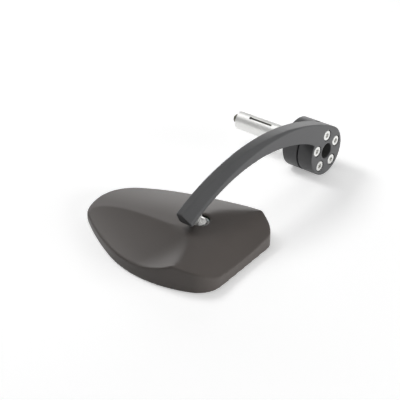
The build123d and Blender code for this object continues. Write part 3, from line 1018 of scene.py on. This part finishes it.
SCALLOP_RIDGE = SoftRidge(
    path=((20.0, -137.0), (22.4, -137.6), (27.5, -143.3), (31.5, -150.0), (34.3, -157.7), (35.4, -166.0)),
    reach=13.0,
)
CROWN_RIDGE = SoftRidge(
    path=((19.7, -116.6), (21.6, -110.0), (24.8, -103.8), (29.0, -98.3), (36.0, -91.0)),
    reach=16.0,
)


@dataclass
class MirrorHead(SubAssembly):
    """Sculpted housing with its glass and foam frame."""

    voxel: float = 0.6
    edge_steps: int = 5
    blend_steps: int = 260
    wall_steepness: float = 0.5
    crisp_margin: float = 1.2
    soft_margin: float = 5.0
    crease_deg: float = 60.0
    ridges: tuple[SoftRidge, ...] = (SCALLOP_RIDGE, CROWN_RIDGE)

    def build(self) -> None:
        """Builds and dresses the three pieces."""
        self.build_housing()
        glass = self.smooth_copy("mirror_glass", "convex_glass")
        self.dress(glass, Finishes.MIRROR_GLASS, "mirror_head", "mirror_glass")
        pad = self.smooth_copy("glass_pad", "foam_frame")
        self.dress(pad, Finishes.FOAM, "mirror_head", "glass_pad")

    def build_housing(self) -> None:
        """Remeshes a copy of the housing and blends its soft ridges."""
        piece = self.smooth_copy("mirror_housing", "housing_shell")
        self.even_skin(piece, self.voxel, self.edge_steps)
        group = self.ridge_group(piece)
        blend = self.add_smooth(piece, "soft_ridges", self.blend_steps)
        blend.vertex_group = group.name
        settle(piece)
        piece.vertex_groups.clear()
        soften(piece.data, self.crease_deg)
        self.dress(piece, Finishes.HOUSING_COAT, "mirror_head", "mirror_housing")

    def ridge_group(self, piece: bpy.types.Object) -> bpy.types.VertexGroup:
        """Marks the soft ridges, and leaves the walls and their edges alone.

        Args:
            piece: the remeshed housing.

        Returns:
            The vertex group of the ridges.
        """
        upper = []
        walls = KDTree(len(piece.data.vertices))
        for vertex in piece.data.vertices:
            if abs(vertex.normal.z) < self.wall_steepness:
                walls.insert(vertex.co, vertex.index)
            elif vertex.normal.z > 0.0:
                upper.append(vertex)
        walls.balance()
        group = piece.vertex_groups.new(name="soft_ridges")
        for vertex in upper:
            share = max(ridge.weight(vertex.co / MM) for ridge in self.ridges)
            if share > 0.0:
                gap = walls.find(vertex.co)[2] / MM
                share *= eased((gap - self.crisp_margin) / (self.soft_margin - self.crisp_margin))
                group.add([vertex.index], share, "REPLACE")
        return group


@dataclass
class BallJoint(SubAssembly):
    """Ball stud, its cup and the clamp that holds the cup in the housing."""

    ball_diameter: float = 10.0
    ball_parts: int = 28
    ball_start_deg: float = -88.0
    tilt_deg: float = 25.0
    neck_diameter: float = 4.8
    neck_flare: float = 0.3
    flare_height: float = 0.4
    hexagon: float = 7.0
    hexagon_height: float = 2.0
    hexagon_ease: float = 0.1
    chamfer_height: float = 0.35
    seat: float = 10.15
    thread_diameter: float = 5.0
    thread_length: float = 4.2
    thread_pitch: float = 0.8
    thread_depth: float = 0.45
    thread_crest: float = 0.42
    thread_rise: float = 0.6
    thread_spare: float = 1.0
    tip_chamfer: float = 0.4
    clamp_screw: SocketScrew = SocketScrew(
        length=6.3, shank=3.0, head_diameter=5.5, head_height=2.0, socket=2.0, edge=0.3
    )
    clamp_count: int = 3
    clamp_circle: float = 19.0
    clamp_start_deg: float = 30.0

    def build(self) -> None:
        """Builds and dresses the stud, cup, plate, washers and screws."""
        self.build_stud()
        cup = self.smooth_copy("ball_cup", "cup_ring")
        self.dress(cup, Finishes.ACETAL, "cup", "ball_cup")
        plate = self.smooth_copy("socket_clamp_plate", "clamp_disc")
        self.dress(plate, Finishes.PLATED_STEEL, "mirror_head", "socket_clamp_plate")
        washers = self.smooth_copy("clamp_spring_washers", "spring_washers")
        self.dress(washers, Finishes.PLATED_STEEL, "mirror_head", "clamp_spring_washers")
        self.build_clamp_screws()

    def ball_rings(self) -> list[Ring]:
        """Stacks the rings of the ball.

        Returns:
            The rings, from the ball's far end to the neck.
        """
        radius = self.ball_diameter / 2
        last = math.degrees(math.acos(self.neck_diameter / self.ball_diameter))
        rings = []
        for step in range(self.ball_parts + 1):
            part = step / self.ball_parts
            angle = math.radians(self.ball_start_deg + (last - self.ball_start_deg) * part)
            rings.append(Ring(radius * math.sin(angle), radius * math.cos(angle)))
        return rings

    def build_stud(self) -> None:
        """Turns ball, neck, chamfered hexagon and threaded end on one axis."""
        low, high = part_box("ball_cup")
        centre = Vector(((low.x + high.x) / 2, (low.y + high.y) / 2, 0.0))
        centre.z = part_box("ball_stud")[0].z + self.ball_diameter / 2 * MM
        neck = self.neck_diameter / 2
        half = self.hexagon / 2
        under = self.seat - self.hexagon_height
        tip = self.seat + self.thread_length
        core = self.thread_diameter / 2 - self.thread_depth
        rings = self.ball_rings() + [
            Ring(under - self.flare_height, neck),
            Ring(under, neck + self.neck_flare),
            Ring(under, half - self.hexagon_ease),
            Ring(under + self.chamfer_height, half, Section.HEXAGON),
            Ring(self.seat - self.chamfer_height, half, Section.HEXAGON),
            Ring(self.seat, half - self.hexagon_ease),
            Ring(self.seat, core),
            Ring(tip - self.tip_chamfer, core),
            Ring(tip, core - self.tip_chamfer),
        ]
        piece = turned_piece("stud_with_ball", rings)
        turns = self.thread_length - self.thread_spare
        values = {
            "Turns": turns,
            "Length": turns * self.thread_pitch * MM,
            "Radius": core * MM,
            "Crest": self.thread_crest * MM,
            "Bottom": (self.seat + self.thread_rise) * MM,
            "Finish": Finishes.BRIGHT_STEEL.material(),
        }
        thread_helix().apply(piece, values)
        turn = Matrix.Rotation(math.radians(self.tilt_deg), 4, "X")
        piece.data.transform(Matrix.Translation(centre) @ turn)
        self.dress(piece, Finishes.BRIGHT_STEEL, "stud", "ball_stud")

    def build_clamp_screws(self) -> None:
        """Sets the screws that pull the clamp plate up to the housing's boss."""
        rings = self.clamp_screw.shank_rings() + self.clamp_screw.head_rings()
        piece = turned_piece("clamp_plate_screws", rings)
        values = {
            "Count": self.clamp_count,
            "Circle": self.clamp_circle / 2 * MM,
            "Start": math.radians(-self.clamp_start_deg),
            "Finish": Finishes.PLATED_STEEL.material(),
        }
        ring_pattern().apply(piece, values)
        plate_low, plate_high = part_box("socket_clamp_plate")
        centre = (plate_low + plate_high) / 2
        centre.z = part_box("clamp_spring_washers")[0].z
        piece.data.transform(Matrix.Translation(centre) @ Matrix.Rotation(math.pi, 4, "X"))
        self.dress(piece, Finishes.PLATED_STEEL, "mirror_head", "clamp_screws")


@dataclass
class Arm(SubAssembly):
    """Arched arm with its round head, cast in one piece with softened edges."""

    voxel: float = 0.42
    edge_steps: int = 6
    crease_deg: float = 60.0

    def build(self) -> None:
        """Rounds the edges of a copy of the arm by remeshing and smoothing it."""
        piece = self.smooth_copy("mirror_arm", "arched_arm")
        self.even_skin(piece, self.voxel, self.edge_steps)
        soften(piece.data, self.crease_deg)
        self.dress(piece, Finishes.ARM_COAT, "arm", "mirror_arm")


@dataclass
class BarEnd(SubAssembly):
    """Collar, gasket, bolt washer and the five screws of the arm's head."""

    screw: SocketScrew = SocketScrew(
        length=16.0, shank=4.0, head_diameter=7.0, head_height=4.0, socket=3.0, edge=0.45
    )
    screw_count: int = 5
    screw_circle: float = 22.3
    start_deg: float = 180.0

    def build(self) -> None:
        """Builds and dresses the collar, the gasket, the washer and the screws."""
        collar = self.smooth_copy("bar_end_collar", "collar_ring")
        self.dress(collar, Finishes.ARM_COAT, "arm", "bar_end_collar")
        gasket = self.smooth_copy("seam_gasket", "gasket_ring")
        self.dress(gasket, Finishes.BLACK_RUBBER, "arm", "seam_gasket")
        washer = self.smooth_copy("bolt_washer", "flat_washer")
        self.dress(washer, Finishes.PLATED_STEEL, "arm", "bolt_washer")
        self.build_screws()

    def build_screws(self) -> None:
        """Sets the socket head screws on the head's circle."""
        piece = turned_piece("arm_head_screws", self.screw.shank_rings() + self.screw.head_rings())
        values = {
            "Count": self.screw_count,
            "Circle": self.screw_circle / 2 * MM,
            "Start": math.radians(self.start_deg),
            "Finish": Finishes.BRIGHT_STEEL.material(),
        }
        ring_pattern().apply(piece, values)
        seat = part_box("head_screws")[1].x - self.screw.head_height * MM
        piece.data.transform(Matrix.Translation((seat, 0.0, 0.0)) @ BAR_AXIS)
        self.dress(piece, Finishes.BRIGHT_STEEL, "arm", "head_screws")


@dataclass
class Expander(SubAssembly):
    """Slotted sleeve, cone nut and long bolt that hold the mirror in the bar."""

    sleeve_crease_deg: float = 30.0
    bolt_diameter: float = 6.0
    head_diameter: float = 10.0
    head_height: float = 6.0
    head_edge: float = 0.6
    socket: float = 5.0
    pitch: float = 1.0
    thread_depth: float = 0.55
    threaded_length: float = 18.0
    thread_spare: float = 0.6
    tip_chamfer: float = 0.5

    def build(self) -> None:
        """Builds and dresses the sleeve, the nut and the bolt."""
        sleeve = self.smooth_copy("expander_sleeve", "slotted_sleeve", self.sleeve_crease_deg)
        self.dress(sleeve, Finishes.TURNED_ALUMINIUM, "expander", "expander_sleeve")
        nut = self.smooth_copy("expander_cone_nut", "cone_nut")
        self.dress(nut, Finishes.PLATED_STEEL, "expander_nut", "expander_cone_nut")
        self.build_bolt()

    def build_bolt(self) -> None:
        """Turns the socket head bolt and winds a thread on its far end."""
        low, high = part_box("expander_bolt")
        length = (high.x - low.x) / MM - self.head_height
        radius = self.bolt_diameter / 2
        core = radius - self.thread_depth
        screw = SocketScrew(
            length, self.bolt_diameter, self.head_diameter, self.head_height, self.socket, self.head_edge
        )
        rings = [
            Ring(-length, core - self.tip_chamfer),
            Ring(-length + self.tip_chamfer, core),
            Ring(-length + self.threaded_length, core),
            Ring(-length + self.threaded_length + self.thread_spare, radius),
        ]
        piece = turned_piece("long_bolt", rings + screw.head_rings())
        run = self.threaded_length - 2 * self.thread_spare
        values = {
            "Turns": run / self.pitch,
            "Length": run * MM,
            "Radius": core * MM,
            "Crest": self.thread_depth * MM,
            "Bottom": (-length + self.thread_spare) * MM,
            "Finish": Finishes.DARK_STEEL.material(),
        }
        thread_helix().apply(piece, values)
        seat = high.x - self.head_height * MM
        piece.data.transform(Matrix.Translation((seat, 0.0, 0.0)) @ BAR_AXIS)
        self.dress(piece, Finishes.DARK_STEEL, "bolt", "expander_bolt")


@dataclass(frozen=True)
class Softbox:
    """One soft lamp, placed from the object's middle: right, away and up for the camera, in metres."""

    name: str
    place: tuple[float, float, float]
    size: tuple[float, float]
    power: float
    glints: bool = True


@dataclass
class Studio:
    """White floor, white surround, soft lamps and the photograph's camera."""

    eye_mm: tuple[float, float, float] = (343.6, -501.1, 309.3)
    right: tuple[float, float, float] = (0.7591, 0.6510, 0.0)
    up: tuple[float, float, float] = (-0.3309, 0.3859, 0.8611)
    back: tuple[float, float, float] = (0.5606, -0.6537, 0.5084)
    lens: float = 90.0
    sensor: float = 36.0
    clip_start: float = 0.01
    floor_width: float = 2.6
    floor_gap: float = 0.0002
    floor_colour: Colour = (0.9, 0.9, 0.9)
    floor_glow: float = 0.37
    ambient: float = 0.05
    mirrored: float = 0.36
    lamps: tuple[Softbox, ...] = (
        Softbox("back_softbox", place=(0.0, 1.3, 0.3), size=(1.6, 0.5), power=5.8),
        Softbox("left_softbox", place=(-0.75, 0.45, 1.0), size=(0.45, 0.45), power=6.0, glints=False),
        Softbox("top_softbox", place=(-0.35, 0.15, 1.0), size=(1.0, 1.0), power=3.8),
        Softbox("side_softbox", place=(0.95, -0.55, 0.12), size=(0.9, 0.5), power=13.5, glints=False),
    )

    def build(self) -> None:
        """Sets up the floor, surround, lamps and camera."""
        low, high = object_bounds()
        self.build_floor(low.z)
        self.build_world()
        self.build_lamps((low + high) / 2)
        self.build_camera()
        bpy.context.scene.view_settings.view_transform = "Standard"

    def build_floor(self, height: float) -> None:
        """Lays a large white floor just under the object, which keeps its shadow.

        Args:
            height: the object's lowest point, in metres.
        """
        half = self.floor_width / 2
        corners = [(-half, -half), (half, -half), (half, half), (-half, half)]
        mesh = bpy.data.meshes.new("studio_floor")
        mesh.from_pydata([(x, y, height - self.floor_gap) for x, y in corners], [], [(0, 1, 2, 3)])
        floor = new_object("studio_floor", mesh)
        material = bpy.data.materials.new("studio_white")
        material.use_nodes = True
        graph = ShaderGraph(material.node_tree)
        sockets = {"Base Color": (*self.floor_colour, 1.0), "Roughness": 1.0, "Specular IOR Level": 0.0}
        paint = graph.node("ShaderNodeBsdfPrincipled", {}, sockets)["BSDF"]
        path = graph.node("ShaderNodeLightPath")
        seen = path["Is Camera Ray"].most(path["Is Glossy Ray"]) * self.floor_glow
        glow = graph.node("ShaderNodeEmission", {}, {"Strength": seen})["Emission"]
        both = graph.node("ShaderNodeAddShader", {}, {0: paint, 1: glow})["Shader"]
        graph.node("ShaderNodeOutputMaterial", {}, {"Surface": both})
        mesh.materials.append(material)
        floor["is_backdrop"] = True

    def build_world(self) -> None:
        """Makes a surround that is white for the camera and dimmer as a light."""
        world = bpy.data.worlds.new("studio_surround")
        world.use_nodes = True
        bpy.context.scene.world = world
        graph = ShaderGraph(world.node_tree)
        path = graph.node("ShaderNodeLightPath")
        seen = path["Is Camera Ray"].most(path["Is Transmission Ray"])
        strength = seen.most(path["Is Glossy Ray"] * self.mirrored).most(self.ambient)
        sockets = {"Color": (1.0, 1.0, 1.0, 1.0), "Strength": strength}
        surround = graph.node("ShaderNodeBackground", {}, sockets)["Background"]
        graph.node("ShaderNodeOutputWorld", {}, {"Surface": surround})

    def build_lamps(self, middle: Vector) -> None:
        """Hangs the softboxes round the object, facing it.

        Args:
            middle: the object's middle, in metres.
        """
        rightwards = Vector(self.right)
        away = Vector((-self.back[0], -self.back[1], 0.0)).normalized()
        upwards = Vector((0.0, 0.0, 1.0))
        for box in self.lamps:
            lamp = bpy.data.lights.new(box.name, "AREA")
            lamp.shape = "RECTANGLE"
            lamp.size, lamp.size_y = box.size
            lamp.energy = box.power
            holder = bpy.data.objects.new(box.name, lamp)
            bpy.context.scene.collection.objects.link(holder)
            offset = rightwards * box.place[0] + away * box.place[1] + upwards * box.place[2]
            holder.location = middle + offset
            holder.rotation_euler = offset.to_track_quat("Z", "Y").to_euler()
            holder.visible_camera = False
            holder.visible_glossy = box.glints

    def build_camera(self) -> None:
        """Places the camera at the photograph's angle."""
        camera = bpy.data.cameras.new("photo_camera")
        camera.lens = self.lens
        camera.sensor_width = self.sensor
        camera.clip_start = self.clip_start
        holder = bpy.data.objects.new("photo_camera", camera)
        bpy.context.scene.collection.objects.link(holder)
        columns = Matrix((self.right, self.up, self.back)).transposed().to_4x4()
        holder.matrix_world = Matrix.Translation(Vector(self.eye_mm) * MM) @ columns
        bpy.context.scene.camera = holder


def main() -> None:
    """Builds the mirror on its frame, then the studio, and measures both boxes."""
    logging.basicConfig(level=logging.INFO, format="%(name)s %(message)s")
    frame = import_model()
    solid_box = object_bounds()
    for assembly in (MirrorHead, BallJoint, Arm, BarEnd, Expander):
        LOG.info("building %s", assembly.__name__)
        assembly(frame).build()
    Studio().build()
    dressed_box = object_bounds()
    boxes = {"cad": solid_box, "visual": dressed_box}
    {key: [list(corner) for corner in box] for key, box in boxes.items()}


if __name__ == "__main__":
    main()
